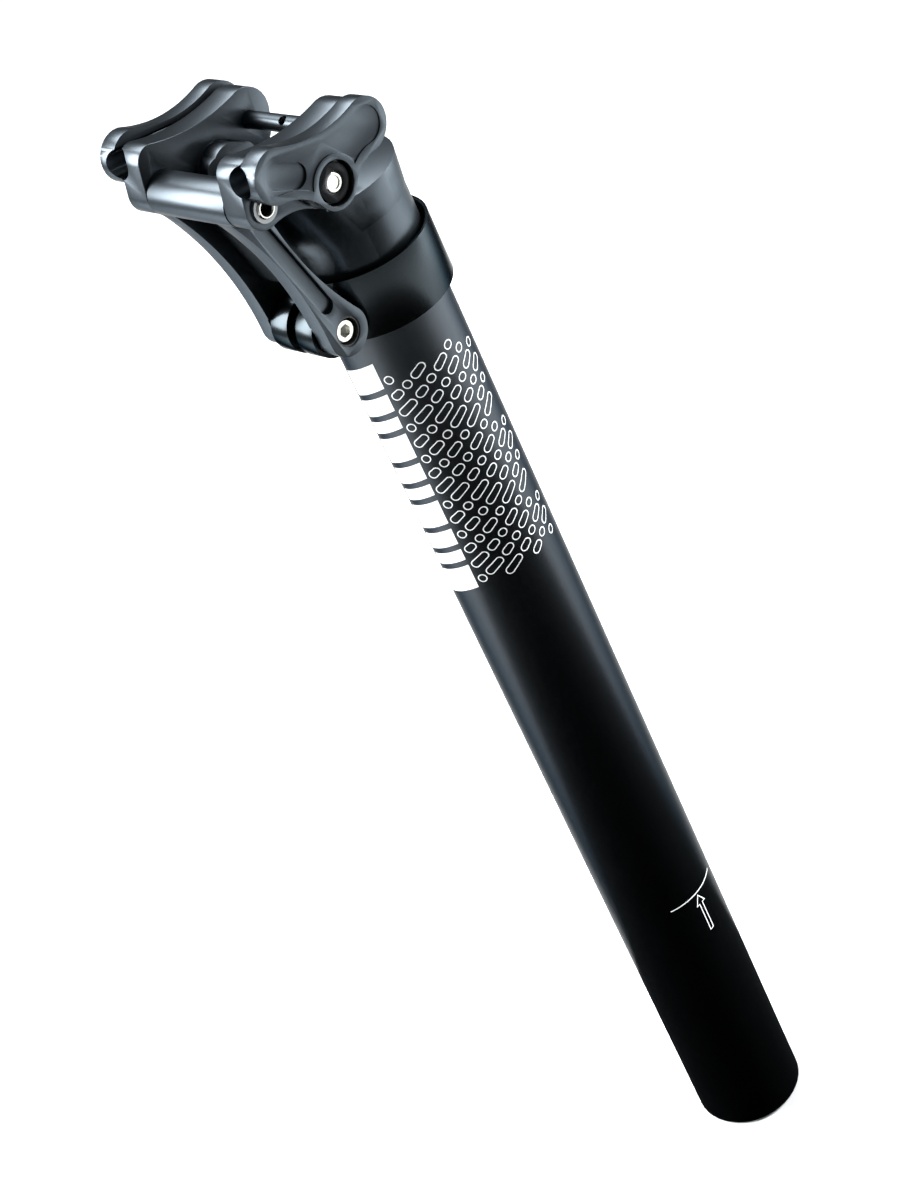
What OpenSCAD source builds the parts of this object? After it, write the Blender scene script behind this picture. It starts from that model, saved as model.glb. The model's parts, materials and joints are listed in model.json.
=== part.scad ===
// Seatpost with a rail clamp whose tilt is set by a sliding collar and a link.
// +Z runs up the post, +X towards the setback side (the bicycle's rear) and +Y towards
// the bicycle's right. The origin is on the tube's axis at its open lower end.

/* [Post] */
// Outside diameter of the tube
tube_d = 31.6; // [31:0.1:32]
// Wall of the tube
tube_wall = 2.4; // [2:0.1:3]
// Height of the flat top of the forged head
head_z = 332.5; // [330:0.5:335]
// Growth of the head's radius from the tube to its top
head_flare = 1.2; // [0.6:0.1:1.4]

/* [Tilt mechanism] */
// Height of the clamp bolt, the axis on which the cradle tilts
pivot_z = 345; // [343:0.5:347]
// Setback of the clamp bolt from the tube's axis
pivot_x = 17; // [16:0.5:18]
// Tilt of the rails from square to the post, rear end up
tilt = 14; // [8:1:18]
// Lean of the forged head towards the rear
head_lean = 20; // [16:1:22]
// Height of the collar's pinch bolt
pinch_z = 304.4; // [303:0.2:306]
// Height of the collar
collar_h = 16.8; // [15:0.2:18]
// Wall of the collar
collar_wall = 2.5; // [2.2:0.1:2.8]

/* [Rail clamp] */
// Distance between the centres of the saddle's rails
rail_gap = 44; // [43:0.5:45]
// Diameter of a rail
rail_d = 7; // [6.8:0.1:7.2]
// Height of the rails above the clamp bolt
rail_z = 7.4; // [7.2:0.1:7.6]
// Thickness of an outer clamp plate
clamp_t = 5; // [4.8:0.1:5.6]

/* [Hidden] */
$fn = 96;

fit = 0.05;
cut = 0.1;
bite = 0.02;
tube_r = tube_d / 2;
bore_r = tube_r - tube_wall;
head_r = tube_r + head_flare;
flare_z = head_z - 9;
bore_top = 318;
seat_z = 294;
seat_r = tube_r + 0.3;

// Cradle: points in its own plane, x along the rails and y across them, from the clamp bolt
front_lobe = [-11.8, 8];
front_r = 6.7;
front_foot = [-12.6, 4];
foot_r = 5.2;
rear_lobe = [17.3, 7.6];
rear_r = 4.1;
link_pivot = [16.3, -0.2];
link_lug_r = 5.1;
boss_r = 6.4;
jaw_in = 14;
jaw_out = rail_gap / 2 - 0.7;
jaw_top_curve = 50;
jaw_rear_curve = 16;
jaw_front_curve = 9;
tie = [-12, 7];
tie_r = 2.15;
tie_bore_r = 1.1;
tie_hole_r = 1.2;
groove_r = rail_d / 2 + 0.1;

// Outer clamp plates
plate_in = rail_gap / 2 + 0.7;
plate_out = plate_in + clamp_t;
plate_front = [-11.5, 9.3];
plate_front_r = 6.4;
plate_rear = [15.6, 7.4];
plate_rear_r = 6.3;
plate_boss_r = 6.2;
plate_top_curve = 32;
plate_rear_curve = 14;
plate_front_curve = 8;
well_r = 5.2;
well_floor = plate_out - 3;
recess_depth = 0.4;
pocket_depth = 1.3;
rim = 2;
pocket_start = [10.2, 5.4];
pocket_r = 3;

// Ears of the head on either side of the slot
ear_in = 8.2;
ear_out = 13.3;
ear_r = 6;
ear_front = [12.3, pivot_z + 0.6];
ear_front_r = 3;
ear_rear = [20.8, pivot_z + 1.6];
ear_rear_r = 3.4;
slot_z = 338;
lean_z = 322;
washer_t = jaw_in - ear_out - fit;

// Bolts and pins
bolt_r = 2.5;
bolt_hole_r = bolt_r + 0.08;
nut_shank_r = 3.4;
nut_hole_r = nut_shank_r + 0.08;
head_round_r = 4.3;
socket_r = 1.6;
sleeve_r = 3.3;
pin_r = 2.5;
pin_bore_r = 1.6;
pin_bush_r = 3.3;
pinch_r = 2.2;
pinch_head_r = 2.8;
pinch_bush_r = 3.7;
open_pivot_gap = 0.45;

// Link and collar
pinch_x = tube_r + 5.4;
barrel_r = 5.2;
barrel_half = jaw_in - 0.3;
eye_r = 6;
arm_in = 7.5;
eye_in = 7.9;
eye_out = 12.4;
arm_curve = 85;
groove_half = 2;
lug_r = 7;
lug_half = 7.5;
slit_half = 1.6;
collar_r = tube_r + collar_wall;
collar_z = pinch_z - lug_r;

function tilted(p) = [
    pivot_x + p[0] * cos(tilt) - p[1] * sin(tilt),
    pivot_z + p[0] * sin(tilt) + p[1] * cos(tilt)
];
top_pivot = tilted(link_pivot);
low_pivot = [pinch_x, pinch_z];
link_len = norm(top_pivot - low_pivot);
along = (low_pivot - top_pivot) / link_len;
across = [along[1], -along[0]];

// Centre of a circle of radius r that touches two others, on the left of the way from a to b
function blend_centre(a, ra, b, rb, r) =
    let (
        d = norm(b - a),
        x = (d * d + (ra + r) * (ra + r) - (rb + r) * (rb + r)) / (2 * d),
        h = sqrt((ra + r) * (ra + r) - x * x),
        u = (b - a) / d
    )
    a + u * x + [-u[1], u[0]] * h;

// Web between two circles with a hollow side of radius r on the left, which runs into them
// almost tangentially: it bites by a hair, so that the surfaces cross cleanly
module web(a, ra, b, rb, r) {
    f = blend_centre(a, ra, b, rb, r);
    difference() {
        polygon([a, b, f]);
        translate(f) circle(r + bite, $fn = 192);
    }
}

module disc(p, r) {
    translate(p) circle(r);
}

// A drawing in the X-Z plane made solid from y0 to y1
module slab(y0, y1) {
    translate([0, y1, 0]) rotate([90, 0, 0]) linear_extrude(y1 - y0) children();
}

// The same, on both sides
module slabs(y0, y1) {
    slab(y0, y1) children();
    slab(-y1, -y0) children();
}

module in_cradle() {
    translate([pivot_x, 0, pivot_z]) rotate([0, -tilt, 0]) children();
}

module rod(p, r, y0, y1) {
    translate([p[0], y1, p[1]]) rotate([90, 0, 0]) cylinder(r = r, h = y1 - y0);
}

module tube(p, r, hole_r, y0, y1) {
    difference() {
        rod(p, r, y0, y1);
        rod(p, hole_r, y0 - cut, y1 + cut);
    }
}

// Side view of the ears above the head
module ears_outline() {
    polygon([
        [-20, head_z - 5], [-20, head_z], [4, head_z], ear_front,
        ear_rear, [30, head_z], [30, head_z - 5]
    ]);
    polygon([ear_front, ear_front + [-ear_front_r, 0], [4, head_z], [20, head_z]]);
    polygon([ear_front, ear_front + [0, ear_front_r], ear_rear + [0, ear_rear_r], ear_rear]);
    polygon([ear_rear, ear_rear + [ear_rear_r, 0], [30, head_z], [10, head_z]]);
    disc(ear_front, ear_front_r);
    disc(ear_rear, ear_rear_r);
}

// What the leaning bar keeps: its full width up to the head's top, and the ears above
module head_envelope() {
    slab(-30, 30) translate([-20, lean_z - 6]) square([50, head_z - lean_z + 6]);
    slab(-ear_out, ear_out) ears_outline();
}

module post() {
    pivot = [pivot_x, pivot_z];
    color("#1c1e20") difference() {
        union() {
            cylinder(r = tube_r, h = seat_z);
            translate([0, 0, seat_z]) cylinder(r = seat_r, h = flare_z - seat_z);
            translate([0, 0, flare_z]) cylinder(r1 = seat_r + 0.1, r2 = head_r, h = head_z - flare_z);
            intersection() {
                translate([0, 0, lean_z]) rotate([0, head_lean, 0]) cylinder(r = tube_r, h = 40);
                head_envelope();
            }
            slabs(ear_in, ear_out) disc(pivot, ear_r);
        }
        translate([0, 0, -cut]) cylinder(r = bore_r, h = bore_top + cut);
        translate([-20, -ear_in, slot_z]) cube([60, ear_in * 2, 40]);
        rod(pivot, bolt_hole_r, -20, 20);
    }
}

module pivot_sleeve() {
    color("#d8dadc") tube([pivot_x, pivot_z], sleeve_r, bolt_hole_r, -ear_in + fit, ear_in - fit);
}

module thrust_washers() {
    color("#9a9ca0") for (y = [-ear_out - washer_t, ear_out])
        tube([pivot_x, pivot_z], 5.6, bolt_hole_r, y, y + washer_t);
}

module jaw_outline() {
    disc(front_lobe, front_r);
    disc(front_foot, foot_r);
    polygon([
        front_lobe + [-front_r, 0], front_foot + [-foot_r, 0],
        front_foot, [0, 0], front_lobe
    ]);
    disc(rear_lobe, rear_r);
    disc(link_pivot, link_lug_r);
    disc([0, 0], boss_r);
    polygon([front_lobe, [0, 0], link_pivot, rear_lobe]);
    polygon([
        rear_lobe, link_pivot,
        [link_pivot[0] + link_lug_r, link_pivot[1]], [rear_lobe[0] + rear_r, rear_lobe[1]]
    ]);
    web(front_lobe, front_r, rear_lobe, rear_r, jaw_top_curve);
    web([0, 0], boss_r, front_foot, foot_r, jaw_front_curve);
    web(link_pivot, link_lug_r, [0, 0], boss_r, jaw_rear_curve);
}

module rail_groove() {
    translate([0, rail_gap / 2, rail_z]) rotate([0, 90, 0])
        cylinder(r = groove_r, h = 60, center = true);
}

module jaw() {
    color("#24272a") in_cradle() difference() {
        slab(jaw_in, jaw_out) jaw_outline();
        rail_groove();
        rod([0, 0], bolt_hole_r, 0, 40);
        rod(link_pivot, pin_r, 0, 40);
        rod(tie, tie_r, 0, jaw_in + 2);
    }
}

module jaw_right() {
    jaw();
}

module jaw_left() {
    mirror([0, 1, 0]) jaw();
}

module cross_tube() {
    color("#2b2f33") in_cradle() difference() {
        tube(tie, tie_r - 0.01, tie_bore_r, -jaw_in - 2, jaw_in + 2);
        translate([tie[0], 0, tie[1]]) rotate([0, 45, 0]) cylinder(r = tie_hole_r, h = 20, center = true);
    }
}

module link_pin() {
    pin_half = jaw_out + 1.2;
    color("#d8dadc") in_cradle() tube(link_pivot, pin_r - 0.01, pin_bore_r, -pin_half, pin_half);
}

module pin_circlips() {
    color("#55585c") in_cradle() for (y = [-jaw_out - 0.7, jaw_out])
        tube(link_pivot, pin_r + 0.9, pin_r, y, y + 0.7);
}

module arm_outline() {
    disc(top_pivot, barrel_r);
    disc(low_pivot, eye_r);
    web(top_pivot, barrel_r, low_pivot, eye_r, arm_curve);
    web(low_pivot, eye_r, top_pivot, barrel_r, arm_curve);
}

module pocket_outline() {
    a = top_pivot + along * 9;
    b = low_pivot - along * 9.5;
    disc(a, groove_half);
    disc(b, groove_half);
    polygon([
        a + across * groove_half, b + across * groove_half,
        b - across * groove_half, a - across * groove_half
    ]);
}

module link() {
    web_end = top_pivot + along * 31;
    color("#202326") difference() {
        union() {
            rod(top_pivot, barrel_r, -barrel_half, barrel_half);
            slabs(arm_in, eye_out) arm_outline();
            slab(-arm_in - cut, arm_in + cut) polygon([
                top_pivot + across * 3.4, web_end + across * 2.8,
                web_end + across * 0.8, top_pivot + across * 0.8
            ]);
        }
        rod(top_pivot, pin_bush_r, -20, 20);
        slabs(0, eye_in) disc(low_pivot, lug_r + 0.6);
        rod(low_pivot, pinch_bush_r, -20, 20);
        slabs(eye_out - 1.4, eye_out + 2) pocket_outline();
    }
}

module barrel_bushes() {
    color("#8a7442") for (y = [-barrel_half, barrel_half - 6])
        tube(top_pivot, pin_bush_r - 0.01, pin_r + fit, y, y + 6);
}

module eye_bushes() {
    color("#8a7442") for (y = [-eye_out + 0.3, eye_in])
        tube(low_pivot, pinch_bush_r - 0.01, pinch_head_r + open_pivot_gap, y, y + 4.2);
}

module collar() {
    color("#17191b") difference() {
        union() {
            translate([0, 0, collar_z]) cylinder(r = collar_r, h = collar_h);
            slab(-lug_half, lug_half) {
                disc(low_pivot, lug_r);
                translate([tube_r - 6, collar_z]) square([pinch_x - tube_r + 6, lug_r * 2]);
            }
        }
        translate([0, 0, collar_z - 20]) cylinder(r = seat_r + fit, h = 60);
        translate([0, 0, collar_z + collar_h - 1.2])
            cylinder(r1 = seat_r + fit, r2 = collar_r - 0.7, h = 1.3);
        translate([0, -slit_half, collar_z - cut]) cube([40, slit_half * 2, 40]);
        rod(low_pivot, pinch_r + 0.1, -20, 20);
        slabs(lug_half, eye_out + 1) disc(low_pivot, eye_r + 0.5);
    }
}

module hex_socket(p, y0, y1, size) {
    translate([p[0], y1, p[1]]) rotate([90, 0, 0]) cylinder(r = size, h = y1 - y0, $fn = 6);
}

module pinch_bolt() {
    head_y = lug_half + 0.5;
    color("#c9cbcd") difference() {
        union() {
            rod(low_pivot, pinch_r, -eye_out + 0.2, head_y + cut);
            rod(low_pivot, pinch_head_r, head_y, eye_out - 1.2);
        }
        hex_socket(low_pivot, eye_out - 3.4, eye_out, socket_r);
    }
}

module pinch_washers() {
    color("#9a9ca0") for (y = [-lug_half - 0.4, lug_half])
        tube(low_pivot, pinch_bush_r - 0.3, pinch_r + 0.1, y, y + 0.4);
}

module pinch_nut() {
    color("#c9cbcd") tube(low_pivot, pinch_head_r, pinch_r + 0.02, -eye_out + 0.6, -lug_half - 0.4);
}

module plate_outline(inset = 0) {
    front_in = plate_front_r - inset;
    rear_in = plate_rear_r - inset;
    boss_in = plate_boss_r - inset;
    disc(plate_front, front_in);
    disc(plate_rear, rear_in);
    disc([0, 0], boss_in);
    polygon([plate_front, [0, 0], plate_rear]);
    web(plate_front, front_in, plate_rear, rear_in, plate_top_curve + inset);
    web([0, 0], boss_in, plate_front, front_in, plate_front_curve + inset);
    web(plate_rear, rear_in, [0, 0], boss_in, plate_rear_curve + inset);
}

module plate_recess() {
    difference() {
        plate_outline(rim);
        circle(plate_boss_r + 0.4);
    }
}

module plate_pocket() {
    u = (plate_rear - pocket_start) / norm(plate_rear - pocket_start);
    side = [-u[1], u[0]] * (pocket_r - bite);
    disc(plate_rear, pocket_r);
    disc(pocket_start, pocket_r);
    polygon([plate_rear + side, pocket_start + side, pocket_start - side, plate_rear - side]);
}

module clamp_plate(hole_r) {
    color("#1e2124") in_cradle() difference() {
        slab(plate_in, plate_out) plate_outline();
        rail_groove();
        rod([0, 0], hole_r, 0, 40);
        rod([0, 0], well_r, well_floor, plate_out + cut);
        slab(plate_out - recess_depth, plate_out + cut) plate_recess();
        slab(plate_out - pocket_depth, plate_out + cut) plate_pocket();
    }
}

module clamp_right() {
    clamp_plate(nut_hole_r);
}

module clamp_left() {
    mirror([0, 1, 0]) clamp_plate(bolt_hole_r);
}

module clamp_nut() {
    color("#2a2d30") in_cradle() difference() {
        union() {
            rod([0, 0], well_r - 0.6, well_floor + 0.5, well_floor + 2.2);
            rod([0, 0], nut_shank_r, plate_in, well_floor + 0.6);
        }
        rod([0, 0], bolt_r + 0.02, 0, well_floor + 4);
    }
}

module clamp_bolt() {
    tip_y = plate_out - 0.8;
    head_y = -well_floor - 0.5;
    color("#d8dadc") in_cradle() difference() {
        union() {
            rod([0, 0], bolt_r, head_y - cut, tip_y);
            rod([0, 0], head_round_r, head_y - 2.6, head_y);
        }
        hex_socket([0, 0], head_y - 2.7, head_y - 0.6, 2.3);
        rod([0, 0], bolt_r - 1.1, tip_y - 0.4, tip_y + cut);
    }
}

module clamp_washer_right() {
    color("#9a9ca0") in_cradle() tube([0, 0], well_r - 0.3, nut_hole_r, well_floor, well_floor + 0.45);
}

module clamp_washer_left() {
    color("#9a9ca0") in_cradle()
        tube([0, 0], well_r - 0.3, bolt_hole_r, -well_floor - 0.45, -well_floor);
}

module tube_plug() {
    color("#26282a") translate([0, 0, 314]) cylinder(r = bore_r - 0.01, h = 3.9);
}

post();
pivot_sleeve();
thrust_washers();
jaw_right();
jaw_left();
cross_tube();
link_pin();
pin_circlips();
link();
barrel_bushes();
eye_bushes();
collar();
pinch_bolt();
pinch_washers();
pinch_nut();
clamp_right();
clamp_left();
clamp_nut();
clamp_bolt();
clamp_washer_right();
clamp_washer_left();
tube_plug();
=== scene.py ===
import json
import math

import bmesh
import bpy
from mathutils import Matrix, Vector


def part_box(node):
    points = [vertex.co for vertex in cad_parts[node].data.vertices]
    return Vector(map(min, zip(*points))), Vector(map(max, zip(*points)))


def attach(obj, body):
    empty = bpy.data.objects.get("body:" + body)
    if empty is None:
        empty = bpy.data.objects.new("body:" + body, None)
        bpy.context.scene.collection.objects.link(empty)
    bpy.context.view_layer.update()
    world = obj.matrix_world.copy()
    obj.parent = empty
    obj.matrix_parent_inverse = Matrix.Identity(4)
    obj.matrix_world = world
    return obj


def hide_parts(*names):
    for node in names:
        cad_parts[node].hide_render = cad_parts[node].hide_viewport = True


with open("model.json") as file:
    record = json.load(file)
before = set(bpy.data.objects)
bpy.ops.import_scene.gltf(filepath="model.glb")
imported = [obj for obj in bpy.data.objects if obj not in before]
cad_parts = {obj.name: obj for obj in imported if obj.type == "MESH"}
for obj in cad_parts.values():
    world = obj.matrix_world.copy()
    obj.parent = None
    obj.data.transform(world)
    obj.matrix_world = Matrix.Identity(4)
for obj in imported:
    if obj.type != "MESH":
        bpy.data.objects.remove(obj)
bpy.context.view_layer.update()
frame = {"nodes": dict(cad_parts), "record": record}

bl_info = {
    "name": "Seatpost with a collar-set saddle tilt",
    "version": (1, 0, 0),
    "blender": (4, 5, 0),
    "location": "3D View > Sidebar > Seatpost",
    "description": "Builds the forgings, bolts, pins and prints of a setback seatpost on its frame",
    "category": "Object",
}

RECORD = frame["record"]
JOINTS = {joint["name"]: joint for joint in RECORD["behaviour"]["joints"]}
MOUNTS = {mount["name"]: mount for mount in RECORD["mounts"]}

MM = 0.001
TUBE_R = MOUNTS["shaft"]["dims"]["r_mm"] * MM
CLAMP_AXIS = Vector(JOINTS["cradle_tilt"]["pos_m"])
PIN_AXIS = Vector(JOINTS["link_swing"]["pos_m"])
PINCH_AXIS = Vector(JOINTS["pinch_bolt_turn"]["pos_m"])
ACROSS = Vector((0, 1, 0))
TURNED_STEPS = 48

# Radii and clearances that the turned parts share with the CAD.
CLAMP_SHANK_R = 2.5 * MM
BOLT_HOLE_R = 2.58 * MM
PIN_BORE_R = 1.6 * MM
PINCH_SHANK_R = 2.2 * MM
NUT_THREAD_R = 2.22 * MM
PINCH_HEAD_Y = 8 * MM
PINCH_WASHER = 0.4 * MM
BROKEN_EDGE = 0.3 * MM
LUG_CLEARANCE = 0.15 * MM


# ---------------------------------------------------------------- settings

class SeatpostForgings(bpy.types.PropertyGroup):
    """How the forged and machined aluminium parts are rounded and coloured."""

    head_round: bpy.props.FloatProperty(
        name="Head rounding", description="Radius on the edges of the post's head",
        default=1.0 * MM, min=0.2 * MM, max=2 * MM, unit="LENGTH")
    jaw_round: bpy.props.FloatProperty(
        name="Jaw rounding", description="Radius on the edges of the inner jaws",
        default=1.3 * MM, min=0.2 * MM, max=2 * MM, unit="LENGTH")
    plate_round: bpy.props.FloatProperty(
        name="Plate rounding", description="Radius on the edges of the outer clamp plates",
        default=1.3 * MM, min=0.2 * MM, max=2 * MM, unit="LENGTH")
    link_round: bpy.props.FloatProperty(
        name="Link rounding", description="Radius on the edges of the link's arms",
        default=0.8 * MM, min=0.2 * MM, max=1.5 * MM, unit="LENGTH")
    collar_round: bpy.props.FloatProperty(
        name="Collar rounding", description="Radius on the edges of the collar",
        default=0.5 * MM, min=0.1 * MM, max=1 * MM, unit="LENGTH")
    change_z: bpy.props.FloatProperty(
        name="Finish change", description="Height where the tube's matt finish gives way to the head's",
        default=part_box("collar")[0][2] + 8 * MM, unit="LENGTH")


class SeatpostPrints(bpy.types.PropertyGroup):
    """The white prints on the tube."""

    bar_low: bpy.props.FloatProperty(
        name="Bars' foot", description="Height of the lower end of the column of bars",
        default=215 * MM, unit="LENGTH")
    bar_high: bpy.props.FloatProperty(
        name="Bars' head", description="Height of the upper end of the column of bars",
        default=288 * MM, unit="LENGTH")
    row_slope: bpy.props.FloatProperty(
        name="Row slope", description="Rise of the rows of capsules round the tube",
        default=math.radians(33), subtype="ANGLE")
    insertion_z: bpy.props.FloatProperty(
        name="Insertion line", description="Height of the line that marks the least insertion",
        default=91 * MM, unit="LENGTH")


class SeatpostStage(bpy.types.PropertyGroup):
    """Where the camera stands."""

    azimuth: bpy.props.FloatProperty(
        name="Azimuth", description="Turn of the camera round the post",
        default=math.radians(147.98), subtype="ANGLE")
    elevation: bpy.props.FloatProperty(
        name="Elevation", description="Height of the camera over the horizon",
        default=math.radians(34.01), subtype="ANGLE")
    roll: bpy.props.FloatProperty(
        name="Roll", description="Turn of the camera about its own line of sight",
        default=math.radians(-25.93), subtype="ANGLE")
    distance: bpy.props.FloatProperty(
        name="Distance", description="From the camera to the point it looks at",
        default=0.6739, unit="LENGTH")
    lens: bpy.props.FloatProperty(
        name="Lens", description="Focal length in millimetres", default=78.93)


# ---------------------------------------------------------------- materials

def linear(hex_colour):
    """Turn an sRGB hex colour into the linear RGBA that a shader takes."""
    channels = [int(hex_colour[i:i + 2], 16) / 255 for i in (1, 3, 5)]
    return [c / 12.92 if c <= 0.04045 else ((c + 0.055) / 1.055) ** 2.4 for c in channels] + [1.0]


def grey(level):
    """A neutral RGBA: on anodised metal, how much of the glancing sheen its edge keeps."""
    return [level, level, level, 1.0]


def add_node(tree, kind, settings=None, inputs=None, links=None):
    """Add a node, set its properties and sockets, and link others' outputs into it."""
    node = tree.nodes.new(kind)
    for name, value in (settings or {}).items():
        setattr(node, name, value)
    for name, value in (inputs or {}).items():
        node.inputs[name].default_value = value
    for name, output in (links or {}).items():
        tree.links.new(output, node.inputs[name])
    return node


def material(name, hex_colour, metallic, roughness, grit=0.0, grit_depth=0.0, **extra):
    """A surface of one colour, with a blasted grain when grit, its size in metres, is given."""
    made = bpy.data.materials.new(name)
    made.use_nodes = True
    tree = made.node_tree
    shader = tree.nodes["Principled BSDF"]
    shader.inputs["Base Color"].default_value = linear(hex_colour)
    shader.inputs["Metallic"].default_value = metallic
    shader.inputs["Roughness"].default_value = roughness
    for socket, value in extra.items():
        shader.inputs[socket.replace("_", " ")].default_value = value
    if grit:
        place = add_node(tree, "ShaderNodeTexCoord")
        grain = add_node(tree, "ShaderNodeTexNoise", inputs={"Scale": 1 / grit, "Detail": 2.0},
                         links={"Vector": place.outputs["Object"]})
        bump = add_node(tree, "ShaderNodeBump", inputs={"Distance": grit_depth, "Strength": 0.5},
                        links={"Height": grain.outputs["Fac"]})
        tree.links.new(bump.outputs["Normal"], shader.inputs["Normal"])
    return made


def make_materials():
    """Every finish on the post, keyed by the slot of the record that it fills."""
    return {
        # Blasted, hard-anodised aluminium tube: a matt black with a broad, faint sheen.
        "tube_black": material("hard_anodised_tube", "#42464a", 1.0, 0.34, 0.35 * MM, 0.004 * MM,
                               Specular_Tint=grey(0.3)),
        # Forged aluminium, tumbled and black anodised: satin, cool grey where it meets the light.
        "forged_black": material("satin_anodised_forging", "#484e53", 1.0, 0.33, 0.5 * MM, 0.005 * MM,
                                 Specular_Tint=grey(0.4)),
        # Turned aluminium, bright dipped before its black anodising: tighter highlights.
        "gloss_black": material("bright_dipped_collar", "#33383b", 1.0, 0.24, Specular_Tint=grey(0.3)),
        # Nickel-plated steel fasteners: nearly white metal with soft reflections.
        "bright_steel": material("nickel_plated_steel", "#d3d2cc", 1.0, 0.22),
        # Zinc-plated pressed washers: duller and greyer.
        "grey_steel": material("zinc_plated_steel", "#8d9092", 1.0, 0.4),
        # Black-oxide nut: dark, slightly oily steel.
        "black_steel": material("black_oxide_steel", "#1b1c1e", 1.0, 0.38),
        # Moulded acetal bushes: dark, waxy plastic.
        "bush": material("moulded_acetal", "#1d1e1f", 0.0, 0.45, IOR=1.48),
        # Moulded rubber plug in the tube: dull black.
        "plug": material("moulded_rubber", "#151515", 0.0, 0.7, IOR=1.52),
        # Pad-printed ink: flat white that lies on the anodising.
        "ink": material("pad_printed_white_ink", "#e9ecec", 0.0, 0.5, IOR=1.5),
    }


FINISHES = {}


# ---------------------------------------------------------------- making meshes

def finish_piece(bm, name, body, nodes, slot, sharp=32.0, extra_finishes=()):
    """Turn a bmesh into a named piece that rides on a body and stands for CAD nodes."""
    mesh = bpy.data.meshes.new(name)
    bm.to_mesh(mesh)
    bm.free()
    for key in (slot, *extra_finishes):
        mesh.materials.append(FINISHES[key])
    mesh.polygons.foreach_set("use_smooth", [True] * len(mesh.polygons))
    mesh.set_sharp_from_angle(angle=math.radians(sharp))
    piece = bpy.data.objects.new(name, mesh)
    bpy.context.scene.collection.objects.link(piece)
    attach(piece, body)
    if nodes:
        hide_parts(*nodes)
    return piece


def merged_copy(node):
    """A bmesh of a CAD node with its loose triangles joined and its flat faces made whole."""
    bm = bmesh.new()
    bm.from_mesh(frame["nodes"][node].data)
    bmesh.ops.remove_doubles(bm, verts=bm.verts, dist=1e-6)
    bmesh.ops.dissolve_limit(bm, angle_limit=math.radians(0.6), verts=bm.verts, edges=bm.edges,
                             delimit={"NORMAL"})
    return bm


def round_edges(bm, width, wanted=lambda edge: True, sharpest=28.0, segments=3):
    """Round the edges where two faces meet at an angle."""
    edges = [e for e in bm.edges
             if len(e.link_faces) == 2 and e.calc_face_angle() > math.radians(sharpest) and wanted(e)]
    bmesh.ops.bevel(bm, geom=edges, offset=width, offset_type="OFFSET", segments=segments,
                    profile=0.5, affect="EDGES", clamp_overlap=True, material=-1)


def middle(edge):
    return (edge.verts[0].co + edge.verts[1].co) / 2


def near_axis(edge, axis_point, reach):
    """Whether an edge lies within reach of a line along Y, as a bore's edges do."""
    return (middle(edge) - axis_point).xz.length < reach


def shallow(edge):
    """Whether an edge belongs to a shallow step, with no tall wall beside it."""
    y = middle(edge).y
    return all(abs(face.calc_center_median().y - y) < 1.2 * MM for face in edge.link_faces)


def soften(bm, broad, fine, is_fine, is_kept=lambda edge: False):
    """Break the edges of bores and shallow steps finely, then round the outline's broadly."""
    round_edges(bm, fine, lambda e: is_fine(e) and not is_kept(e), segments=2)
    round_edges(bm, broad, lambda e: not is_fine(e) and not is_kept(e))


def turned(axis_point, profile, closed=False):
    """Spin a profile of (radius, y) points about a line along Y."""
    bm = bmesh.new()
    verts = [bm.verts.new((axis_point.x, y, axis_point.z + radius)) for radius, y in profile]
    edges = [bm.edges.new(pair) for pair in zip(verts, verts[1:])]
    if closed:
        edges.append(bm.edges.new((verts[-1], verts[0])))
    bmesh.ops.spin(bm, geom=verts + edges, cent=(axis_point.x, 0, axis_point.z), axis=ACROSS,
                   angle=2 * math.pi, steps=TURNED_STEPS, use_merge=True)
    bmesh.ops.remove_doubles(bm, verts=bm.verts, dist=1e-7)
    bmesh.ops.recalc_face_normals(bm, faces=bm.faces)
    return bm


def ring(axis_point, outer, inner, y0, y1, chamfer=0.15 * MM):
    """A turned ring with broken edges."""
    return turned(axis_point, [
        (inner, y0 + chamfer), (inner + chamfer, y0), (outer - chamfer, y0), (outer, y0 + chamfer),
        (outer, y1 - chamfer), (outer - chamfer, y1), (inner + chamfer, y1), (inner, y1 - chamfer),
    ], closed=True)


def cut_hex_socket(bm, axis_point, y_face, y_floor, size):
    """Close the open round face of a bolt's head with a hexagonal socket."""
    rim = [e for e in bm.edges if e.is_boundary]
    turn = (Matrix.Translation((axis_point.x, y_face, axis_point.z))
            @ Matrix.Rotation(math.pi / 2, 4, "X"))
    hexagon = bmesh.ops.create_circle(bm, segments=TURNED_STEPS, radius=size)["verts"]
    sixth = math.pi / 3
    for vert in hexagon:
        off_flat = math.atan2(vert.co.y, vert.co.x) % sixth - sixth / 2
        vert.co *= math.cos(sixth / 2) / math.cos(off_flat)
    bmesh.ops.transform(bm, verts=hexagon, matrix=turn)
    sides = list({e for v in hexagon for e in v.link_edges})
    bmesh.ops.bridge_loops(bm, edges=rim + sides)
    wall = bmesh.ops.extrude_edge_only(bm, edges=sides)["geom"]
    floor_verts = [g for g in wall if isinstance(g, bmesh.types.BMVert)]
    bmesh.ops.translate(bm, verts=floor_verts, vec=(0, y_floor - y_face, 0))
    floor_edges = [g for g in wall if isinstance(g, bmesh.types.BMEdge) and g.is_boundary]
    bmesh.ops.contextual_create(bm, geom=floor_edges)
    bmesh.ops.recalc_face_normals(bm, faces=bm.faces)


def thread(radius, depth, pitch, y0, y1):
    """The zigzag profile of a thread between two places."""
    turns = int(round((y1 - y0) / pitch))
    points = []
    for i in range(turns):
        y = y0 + i * pitch
        points += [(radius - depth, y), (radius, y + pitch * 0.4), (radius, y + pitch * 0.6)]
    return points + [(radius - depth, y1)]


# ---------------------------------------------------------------- the pieces

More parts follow.
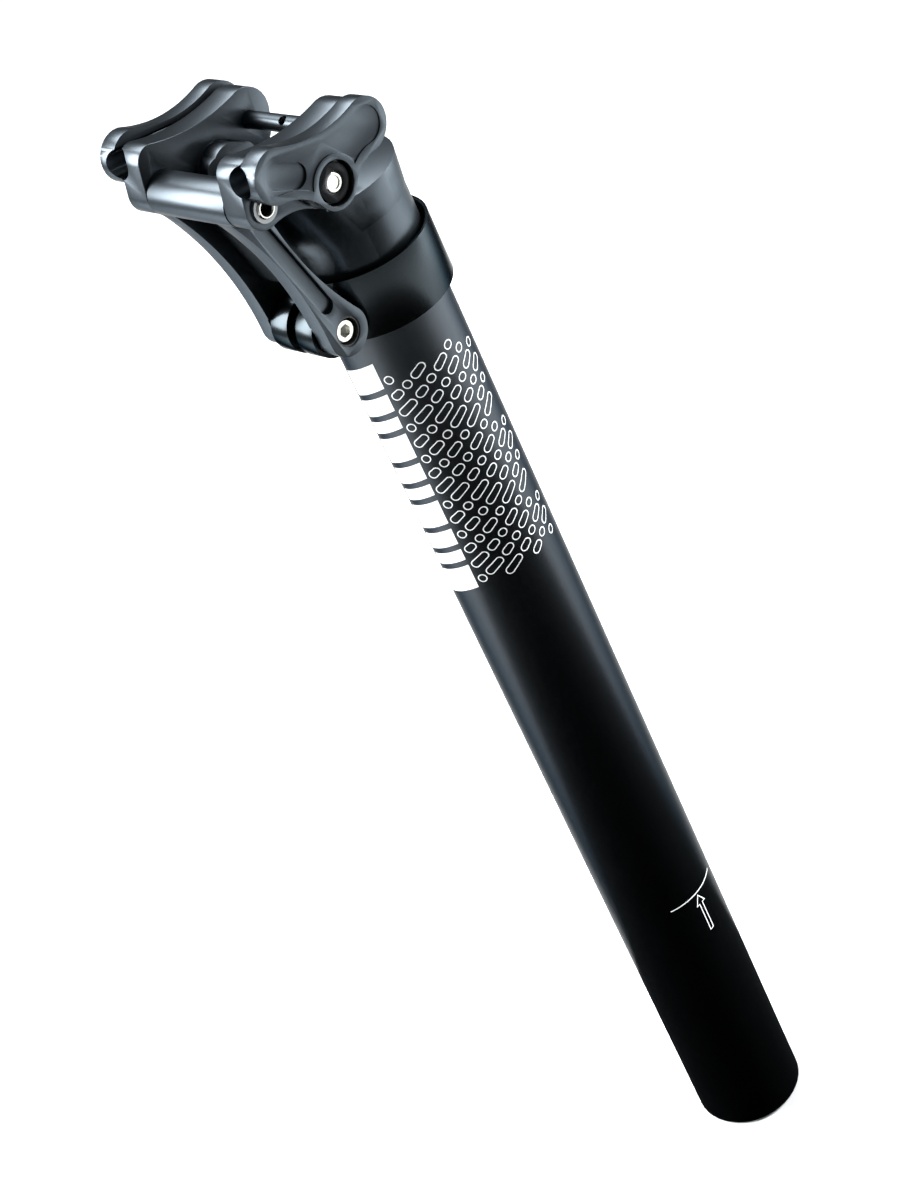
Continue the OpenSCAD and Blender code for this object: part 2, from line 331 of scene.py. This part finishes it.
class SEATPOST_OT_post(bpy.types.Operator):
    """Make the post: its matt tube and its satin forged head"""

    bl_idname = "seatpost.post"
    bl_label = "Post"

    def execute(self, context):
        forgings = context.scene.seatpost_forgings
        bm = merged_copy("post")
        tube_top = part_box("collar")[1][2] + 2 * MM
        round_edges(bm, forgings.head_round, lambda e: middle(e).z > tube_top
                    and (middle(e) - CLAMP_AXIS).xz.length > 4 * MM)
        round_edges(bm, 0.3 * MM, lambda e: middle(e).z < 1 * MM, segments=2)
        bmesh.ops.bisect_plane(bm, geom=bm.verts[:] + bm.edges[:] + bm.faces[:],
                               plane_co=(0, 0, forgings.change_z), plane_no=(0, 0, 1))
        for face in bm.faces:
            face.material_index = int(face.calc_center_median().z > forgings.change_z)
        finish_piece(bm, "post_forging", "post", ["post"], "tube_black",
                     extra_finishes=["forged_black"])
        return {"FINISHED"}


class SEATPOST_OT_jaws(bpy.types.Operator):
    """Make the two inner jaws that carry the rails' inner grooves"""

    bl_idname = "seatpost.jaws"
    bl_label = "Inner jaws"

    def execute(self, context):
        for side in ("right", "left"):
            bm = merged_copy("jaw_" + side)
            soften(bm, context.scene.seatpost_forgings.jaw_round, 0.3 * MM,
                   lambda e: near_axis(e, CLAMP_AXIS, 3 * MM) or near_axis(e, PIN_AXIS, 3 * MM))
            finish_piece(bm, "inner_jaw_" + side, "cradle", ["jaw_" + side], "forged_black")
        return {"FINISHED"}


class SEATPOST_OT_plates(bpy.types.Operator):
    """Make the two outer clamp plates"""

    bl_idname = "seatpost.plates"
    bl_label = "Outer clamp plates"

    def execute(self, context):
        for side in ("right", "left"):
            bm = merged_copy("clamp_" + side)
            soften(bm, context.scene.seatpost_forgings.plate_round, 0.35 * MM,
                   lambda e: shallow(e) or near_axis(e, CLAMP_AXIS, 5.7 * MM))
            finish_piece(bm, "clamp_plate_" + side, side + "_clamp", ["clamp_" + side], "forged_black")
        return {"FINISHED"}


class SEATPOST_OT_link(bpy.types.Operator):
    """Make the two-armed link between the cradle and the collar"""

    bl_idname = "seatpost.link"
    bl_label = "Link"

    def execute(self, context):
        bm = merged_copy("link")
        soften(bm, context.scene.seatpost_forgings.link_round, 0.3 * MM,
               lambda e: shallow(e) or near_axis(e, PINCH_AXIS, 4.2 * MM)
               or near_axis(e, PIN_AXIS, 3.8 * MM),
               lambda e: near_axis(e, PINCH_AXIS, 9 * MM) and not e.is_convex)
        finish_piece(bm, "link_forging", "link", ["link"], "forged_black")
        return {"FINISHED"}


class SEATPOST_OT_collar(bpy.types.Operator):
    """Make the split collar that slides on the post"""

    bl_idname = "seatpost.collar"
    bl_label = "Collar"

    def execute(self, context):
        bm = merged_copy("collar")
        lug_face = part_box("pinch_washers")[1][1] - PINCH_WASHER
        for vert in bm.verts:
            # The lugs' side faces draw back a little from the link's arms, which pass close by.
            # The bore stays as it is, because the post fills it.
            if vert.co.xy.length > TUBE_R + 1 * MM and abs(abs(vert.co.y) - lug_face) < 0.01 * MM:
                vert.co.y -= math.copysign(LUG_CLEARANCE, vert.co.y)
        round_edges(bm, context.scene.seatpost_forgings.collar_round, lambda e: e.is_convex)
        finish_piece(bm, "split_collar", "collar", ["collar"], "gloss_black")
        return {"FINISHED"}


class SEATPOST_OT_turned_parts(bpy.types.Operator):
    """Make the sleeve, pins, bolts and nuts, and finish the small parts that keep their CAD shape"""

    bl_idname = "seatpost.turned_parts"
    bl_label = "Turned parts"

    def execute(self, context):
        self.sleeve_and_pin()
        self.pinch_bolt_and_nut()
        self.clamp_bolt_and_nut()
        self.small_parts()
        return {"FINISHED"}

    def sleeve_and_pin(self):
        low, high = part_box("pivot_sleeve")
        bm = ring(CLAMP_AXIS, (high[2] - low[2]) / 2, BOLT_HOLE_R, low[1], high[1], BROKEN_EDGE)
        finish_piece(bm, "bolt_sleeve", "post", ["pivot_sleeve"], "bright_steel")
        low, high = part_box("link_pin")
        bm = ring(PIN_AXIS, (high[2] - low[2]) / 2, PIN_BORE_R, low[1], high[1], BROKEN_EDGE)
        finish_piece(bm, "hollow_pin", "cradle", ["link_pin"], "bright_steel")

    def pinch_bolt_and_nut(self):
        low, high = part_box("pinch_bolt")
        head_r = (high[2] - low[2]) / 2
        shank_r = PINCH_SHANK_R
        head_y = PINCH_HEAD_Y
        lug = 7.4 * MM
        bm = turned(PINCH_AXIS, [
            (0, low[1]), (shank_r - 0.4 * MM, low[1]), (shank_r, low[1] + 0.4 * MM), (shank_r, -lug),
            *thread(shank_r, 0.35 * MM, 0.8 * MM, -lug, lug),
            (shank_r, lug), (shank_r, head_y), (head_r, head_y), (head_r, high[1] - 0.3 * MM),
            (head_r - 0.3 * MM, high[1]),
        ])
        cut_hex_socket(bm, PINCH_AXIS, high[1], high[1] - 2.2 * MM, 1.7 * MM)
        finish_piece(bm, "pinch_screw", "pinch_bolt", ["pinch_bolt"], "bright_steel")
        low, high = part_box("pinch_nut")
        bm = ring(PINCH_AXIS, (high[2] - low[2]) / 2, NUT_THREAD_R, low[1], high[1], BROKEN_EDGE)
        finish_piece(bm, "pinch_barrel_nut", "collar", ["pinch_nut"], "bright_steel")

    def clamp_bolt_and_nut(self):
        low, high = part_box("clamp_bolt")
        head_r = (high[2] - low[2]) / 2
        shank_r = CLAMP_SHANK_R
        head_y = low[1] + 2.6 * MM
        bm = turned(CLAMP_AXIS, [
            (0, high[1] - BROKEN_EDGE), (shank_r - 1.0 * MM, high[1] - BROKEN_EDGE),
            (shank_r - 0.9 * MM, high[1]),
            (shank_r - 0.4 * MM, high[1]), (shank_r, high[1] - 0.4 * MM), (shank_r, head_y),
            (head_r, head_y), (head_r, low[1] + 0.4 * MM), (head_r - 0.4 * MM, low[1]),
        ])
        cut_hex_socket(bm, CLAMP_AXIS, low[1], low[1] + 2 * MM, 2.3 * MM)
        finish_piece(bm, "clamp_screw", "clamp_bolt", ["clamp_bolt"], "bright_steel")
        bm = merged_copy("clamp_nut")
        round_edges(bm, 0.25 * MM, segments=2)
        finish_piece(bm, "clamp_shank_nut", "right_clamp", ["clamp_nut"], "black_steel")

    def small_parts(self):
        replaced = {"post", "jaw_right", "jaw_left", "clamp_right", "clamp_left", "link", "collar",
                    "pivot_sleeve", "link_pin", "pinch_bolt", "pinch_nut", "clamp_bolt", "clamp_nut"}
        for part in RECORD["subparts"]:
            node = frame["nodes"][part["node"]]
            if part["node"] not in replaced:
                for i in range(len(node.material_slots)):
                    node.material_slots[i].material = FINISHES[part["material_slot"]]


class SEATPOST_OT_prints(bpy.types.Operator):
    """Print the bars, the rows of capsules and the insertion mark on the tube"""

    bl_idname = "seatpost.prints"
    bl_label = "Prints"

    def execute(self, context):
        prints = context.scene.seatpost_prints
        self.bars(prints)
        self.capsules(prints)
        self.insertion_mark(prints)
        return {"FINISHED"}

    def wrap(self, bm, name, height=0.03 * MM):
        """Bend a flat drawing, u round the tube and v up it, onto the tube, a hair above its surface.
        """
        radius = TUBE_R + height
        long_edges = [e for e in bm.edges if e.calc_length() > 1.0 * MM]
        bmesh.ops.subdivide_edges(bm, edges=long_edges, cuts=5, use_grid_fill=True)
        for vert in bm.verts:
            angle = vert.co.x / TUBE_R
            vert.co = (radius * math.cos(angle), radius * math.sin(angle), vert.co.y)
        bmesh.ops.recalc_face_normals(bm, faces=bm.faces)
        for face in bm.faces:
            centre = face.calc_center_median()
            if face.normal.x * centre.x + face.normal.y * centre.y < 0:
                face.normal_flip()
        finish_piece(bm, name, "post", [], "ink")

    def bars(self, prints):
        """A column of slanted bars of three widths down the back of the tube."""
        bm = bmesh.new()
        widths = [7.5 * MM, 3.5 * MM, 5 * MM]
        gap = 1.8 * MM
        half = 5.8 * MM
        slant = 0.35
        v = prints.bar_low
        i = 0
        while v + widths[i % 3] < prints.bar_high:
            tall = widths[i % 3]
            grid = bmesh.ops.create_grid(bm, x_segments=16, y_segments=1, size=0.5)["verts"]
            bmesh.ops.scale(bm, verts=grid, vec=(2 * half, tall, 1))
            bmesh.ops.translate(bm, verts=grid, vec=(0, v + tall / 2, 0))
            v += tall + gap
            i += 1
        for vert in bm.verts:
            vert.co.y += slant * vert.co.x
        self.wrap(bm, "print_bars")

    def outline(self, bm, centre, slope, length, tall, line):
        """An outlined capsule of a given length, set along a slope."""
        outer = bmesh.ops.create_circle(bm, segments=16, radius=tall / 2)["verts"]
        edges = list({e for v in outer for e in v.link_edges})
        inner = bmesh.ops.extrude_edge_only(bm, edges=edges)["geom"]
        inner = [g for g in inner if isinstance(g, bmesh.types.BMVert)]
        bmesh.ops.scale(bm, verts=inner, vec=[1 - 2 * line / tall] * 3)
        both = outer + inner
        for vert in both:
            side = 1 if vert.co.x > 0 else -1
            vert.co.x += side * (length - tall) / 2
        bmesh.ops.transform(bm, verts=both,
                            matrix=Matrix.Translation((*centre, 0)) @ Matrix.Rotation(slope, 4, "Z"))

    def capsules(self, prints):
        """Slanted rows of outlined capsules of mixed lengths round the tube's side."""
        bm = bmesh.new()
        lengths = [2.6 * MM, 6.2 * MM, 3.8 * MM, 2.6 * MM, 4.8 * MM]
        tall = 2.5 * MM
        gap = 0.8 * MM
        pitch = 4.9 * MM
        left = math.radians(25) * TUBE_R
        right = math.radians(128) * TUBE_R
        floor = prints.bar_low + 4 * MM
        roof = prints.bar_high - 3 * MM
        along = Vector((math.cos(prints.row_slope), math.sin(prints.row_slope)))
        for row in range(-5, 16):
            start = Vector((left, floor + row * pitch))
            travel = 0.0
            i = row % len(lengths)
            while travel < (right - left) / along.x:
                length = lengths[i % len(lengths)]
                centre = start + along * (travel + length / 2)
                if centre.x + length / 2 < right and floor < centre.y < roof:
                    self.outline(bm, centre, prints.row_slope, length, tall, 0.3 * MM)
                travel += length + gap
                i += 1
        self.wrap(bm, "print_capsules")

    def insertion_mark(self, prints):
        """The line of least insertion with an arrow that points up at it."""
        bm = bmesh.new()
        line = bmesh.ops.create_grid(bm, x_segments=40, y_segments=1, size=0.5)["verts"]
        centre_u = math.radians(91) * TUBE_R
        bmesh.ops.scale(bm, verts=line, vec=(math.radians(68) * TUBE_R, 0.35 * MM, 1))
        bmesh.ops.translate(bm, verts=line, vec=(centre_u, prints.insertion_z, 0))
        tip = prints.insertion_z - 0.8 * MM
        shape = [(0, 0), (1.9, -3.6), (0.75, -3.6), (0.75, -14),
                 (-0.75, -14), (-0.75, -3.6), (-1.9, -3.6)]
        verts = [bm.verts.new((centre_u + u * MM, tip + v * MM, 0)) for u, v in shape]
        face = bm.faces.new(verts)
        face.normal_update()
        bmesh.ops.inset_region(bm, faces=[face], thickness=0.28 * MM, use_even_offset=True,
                               use_boundary=True)
        bmesh.ops.delete(bm, geom=[face], context="FACES")
        self.wrap(bm, "print_insertion_mark")


# ---------------------------------------------------------------- the stage

class SEATPOST_OT_stage(bpy.types.Operator):
    """Set the camera, the floor, the backdrop and the softboxes"""

    bl_idname = "seatpost.stage"
    bl_label = "Stage"

    def execute(self, context):
        self.camera(context.scene)
        self.floor(context.scene)
        self.black_card(context.scene)
        self.lights(context.scene)
        return {"FINISHED"}

    def camera(self, scene):
        place = scene.seatpost_stage
        target = Vector((0.0142, -0.0089, 0.2223))
        turn = (Matrix.Rotation(place.azimuth, 4, "Z")
                @ Matrix.Rotation(math.pi / 2 - place.elevation, 4, "X")
                @ Matrix.Rotation(place.roll, 4, "Z"))
        data = bpy.data.cameras.new("camera")
        data.lens = place.lens
        data.sensor_width = 36
        data.shift_x = 0.014
        data.shift_y = -0.0345
        data.clip_start = 0.01
        camera = bpy.data.objects.new("camera", data)
        camera.matrix_world = (Matrix.Translation(target) @ turn
                               @ Matrix.Translation((0, 0, place.distance)))
        scene.collection.objects.link(camera)
        scene.camera = camera

    def floor(self, scene):
        bm = bmesh.new()
        bmesh.ops.create_grid(bm, x_segments=1, y_segments=1, size=6)
        mesh = bpy.data.meshes.new("floor")
        bm.to_mesh(mesh)
        bm.free()
        # Matt painted board: an even, near-white ground.
        mesh.materials.append(material("matt_white_board", "#f4f5f5", 0.0, 0.9))
        floor = bpy.data.objects.new("floor", mesh)
        floor.location.z = -0.5 * MM
        scene.collection.objects.link(floor)

    def black_card(self, scene):
        """Lay a card on the floor before the post that only its reflections see, for a dark core."""
        bm = bmesh.new()
        bmesh.ops.create_circle(bm, cap_ends=True, segments=64, radius=0.39)
        mesh = bpy.data.meshes.new("black_card")
        bm.to_mesh(mesh)
        bm.free()
        # Black flocked card: it gives back nearly no light.
        mesh.materials.append(material("black_flock", "#050505", 0.0, 1.0, Specular_IOR_Level=0.0))
        card = bpy.data.objects.new("black_card", mesh)
        azimuth = scene.seatpost_stage.azimuth
        card.location = (0.33 * math.sin(azimuth), -0.33 * math.cos(azimuth), -0.3 * MM)
        card.visible_camera = False
        card.visible_diffuse = False
        card.visible_shadow = False
        scene.collection.objects.link(card)

    def softbox(self, scene, name, azimuth, elevation, distance, size, power):
        """A softbox round the post's upper half, turned to face it."""
        target = Vector((0, 0, 0.25))
        turn = (Matrix.Rotation(math.radians(azimuth), 4, "Z")
                @ Matrix.Rotation(math.radians(90 - elevation), 4, "X"))
        data = bpy.data.lights.new(name, "AREA")
        data.shape = "RECTANGLE"
        data.size, data.size_y = size
        data.energy = power
        light = bpy.data.objects.new(name, data)
        light.matrix_world = Matrix.Translation(target) @ turn @ Matrix.Translation((0, 0, distance))
        scene.collection.objects.link(light)

    def lights(self, scene):
        self.softbox(scene, "softbox_left", 42, 28, 0.9, (0.42, 0.7), 22)
        self.softbox(scene, "softbox_right", 246, 14, 0.9, (0.36, 0.8), 22)
        self.softbox(scene, "softbox_top", -20, 60, 1.0, (0.7, 0.5), 16)
        world = bpy.data.worlds.new("studio")
        world.use_nodes = True
        world.node_tree.nodes["Background"].inputs["Color"].default_value = linear("#e8eef2")
        world.node_tree.nodes["Background"].inputs["Strength"].default_value = 0.35
        scene.world = world
        scene.view_settings.view_transform = "Standard"


# ---------------------------------------------------------------- panel and registration

PIECE_OPERATORS = (
    SEATPOST_OT_post, SEATPOST_OT_jaws, SEATPOST_OT_plates, SEATPOST_OT_link, SEATPOST_OT_collar,
    SEATPOST_OT_turned_parts, SEATPOST_OT_prints, SEATPOST_OT_stage,
)


class SEATPOST_PT_panel(bpy.types.Panel):
    """Lists the seatpost's settings and the operators that build it"""

    bl_idname = "SEATPOST_PT_panel"
    bl_label = "Seatpost"
    bl_space_type = "VIEW_3D"
    bl_region_type = "UI"
    bl_category = "Seatpost"

    def draw(self, context):
        layout = self.layout
        for group in ("seatpost_forgings", "seatpost_prints", "seatpost_stage"):
            settings = getattr(context.scene, group)
            for name in settings.__annotations__:
                layout.prop(settings, name)
        for operator in PIECE_OPERATORS:
            layout.operator(operator.bl_idname)


GROUPS = {
    "seatpost_forgings": SeatpostForgings,
    "seatpost_prints": SeatpostPrints,
    "seatpost_stage": SeatpostStage,
}


def register():
    for cls in (*GROUPS.values(), *PIECE_OPERATORS, SEATPOST_PT_panel):
        bpy.utils.register_class(cls)
    for name, group in GROUPS.items():
        setattr(bpy.types.Scene, name, bpy.props.PointerProperty(type=group))


def unregister():
    for name in GROUPS:
        delattr(bpy.types.Scene, name)
    for cls in (SEATPOST_PT_panel, *PIECE_OPERATORS, *GROUPS.values()):
        bpy.utils.unregister_class(cls)


def main():
    register()
    FINISHES.update(make_materials())
    bpy.ops.seatpost.stage()
    bpy.ops.seatpost.post()
    bpy.ops.seatpost.jaws()
    bpy.ops.seatpost.plates()
    bpy.ops.seatpost.link()
    bpy.ops.seatpost.collar()
    bpy.ops.seatpost.turned_parts()
    bpy.ops.seatpost.prints()


if __name__ == "__main__":
    main()
